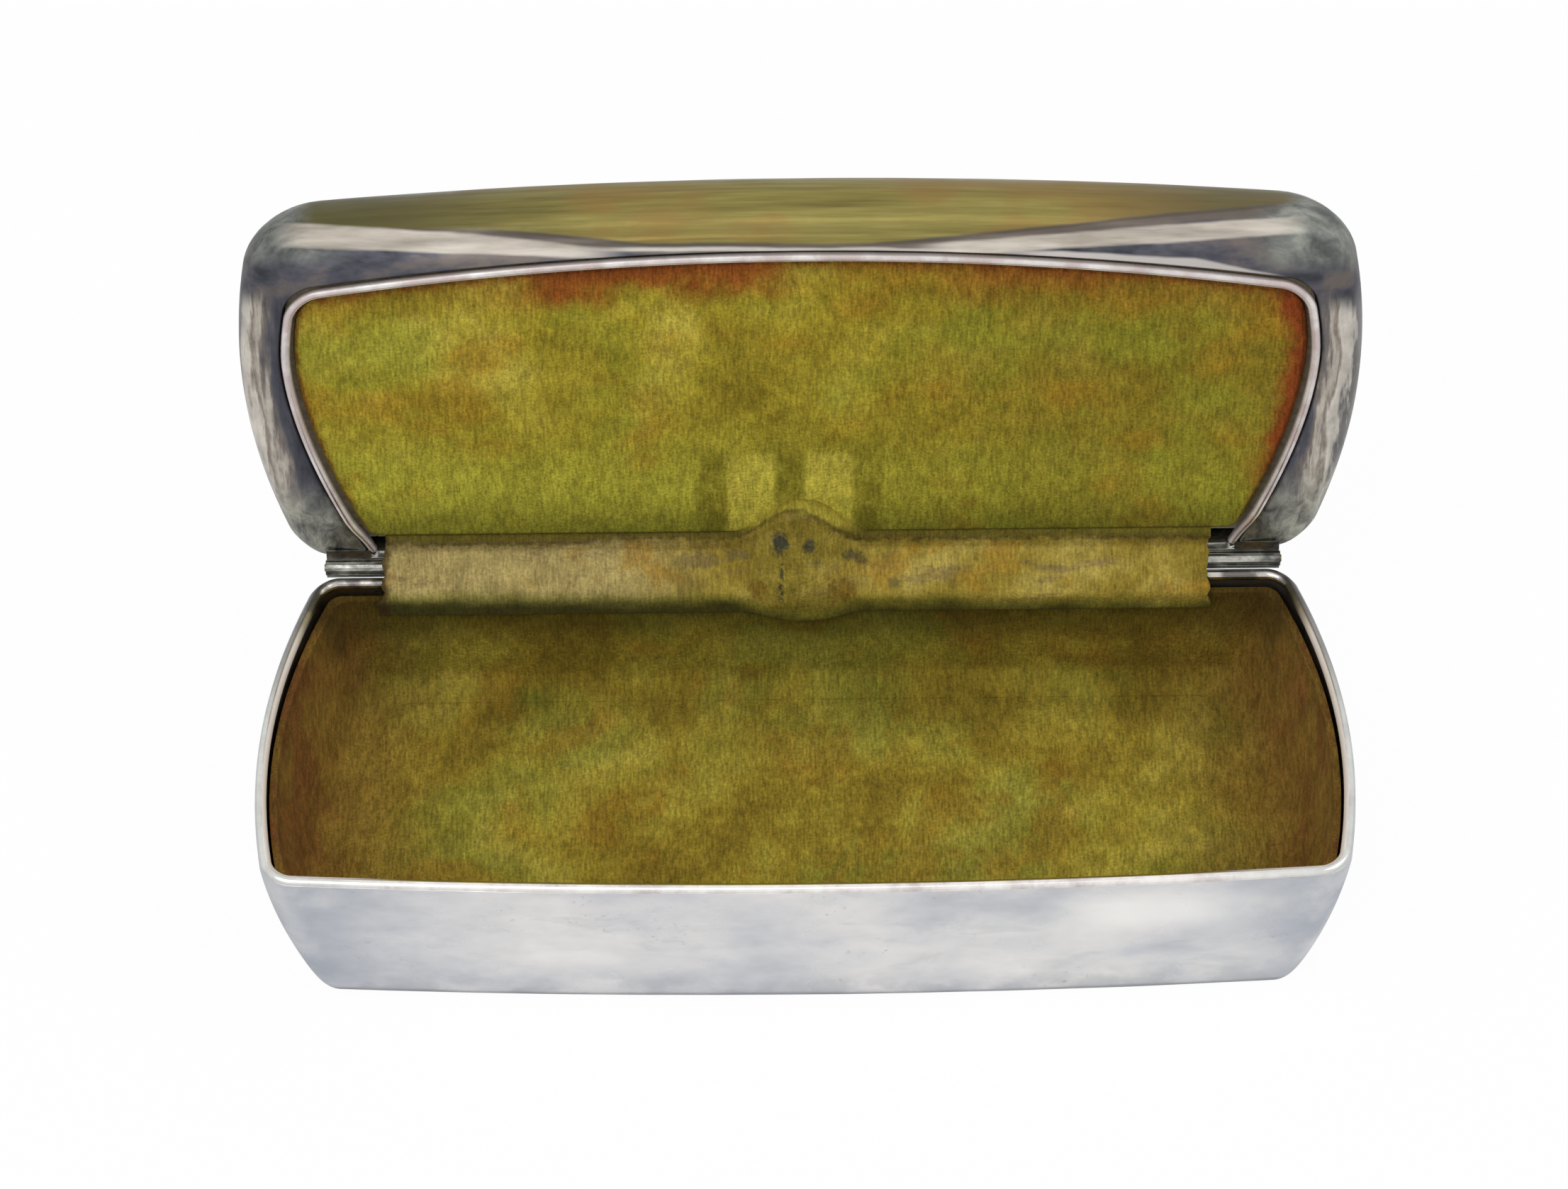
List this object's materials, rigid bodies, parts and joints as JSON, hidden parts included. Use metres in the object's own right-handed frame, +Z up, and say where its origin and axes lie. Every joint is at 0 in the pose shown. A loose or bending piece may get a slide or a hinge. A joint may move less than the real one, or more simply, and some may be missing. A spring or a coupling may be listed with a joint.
{
  "type": "hinged spectacle case",
  "caption": "Slim hinged metal spectacle case standing open, with a pillow-shaped lid, a deep tray, wire-beaded rims and a velvet lining.",
  "frame": {"origin": "on the flat underside of the tray, at the middle of its length and of its depth, at the level the case stands on", "axes": "+X along the case's length to the right as one looks into the open case, +Y to the hinge at the back, +Z up out of the tray"},
  "size_m": [0.128, 0.068, 0.0693],
  "materials": {
    "silver_plate": "old polished silver plate with light tarnish",
    "bright_silver": "bright polished silver wire",
    "spring_steel": "plain steel strip",
    "pin_brass": "drawn brass wire",
    "olive_velvet": "worn yellow-olive velvet with a short pile",
    "floor_velvet": "darker olive velvet with a short pile",
    "brown_velvet": "brown velvet with a short pile",
    "gusset_cloth": "worn yellow velvet ribbon",
    "lining_card": "plain grey-brown card",
    "cotton_wadding": "loose cotton"
  },
  "bodies": {
    "base": {"base_shell": "silver_plate", "base_rim_wire": "bright_silver", "base_knuckle_1": "bright_silver", "base_knuckle_2": "bright_silver", "base_knuckle_3": "bright_silver", "base_knuckle_4": "bright_silver", "hinge_pin": "pin_brass", "spring_socket": "spring_steel", "spring_leaf": "spring_steel", "base_floor_card": "lining_card", "base_floor_velvet": "floor_velvet", "base_wall_velvet": "brown_velvet", "hinge_gusset": "gusset_cloth"},
    "lid": {"lid_shell": "silver_plate", "lid_bead": "bright_silver", "lid_knuckle_1": "bright_silver", "lid_knuckle_2": "bright_silver", "lid_knuckle_3": "bright_silver", "lid_lug": "spring_steel", "lid_wadding": "cotton_wadding", "lid_card": "lining_card", "lid_velvet": "olive_velvet"}
  },
  "joints": [
    {"name": "lid_hinge", "type": "hinge", "parent": "base", "child": "lid", "pos_m": [0, 0.0247, 0.0208], "axis": [1, 0, 0], "range_deg": [0, 100], "deforming": ["hinge_gusset", "spring_leaf"]}
  ]
}
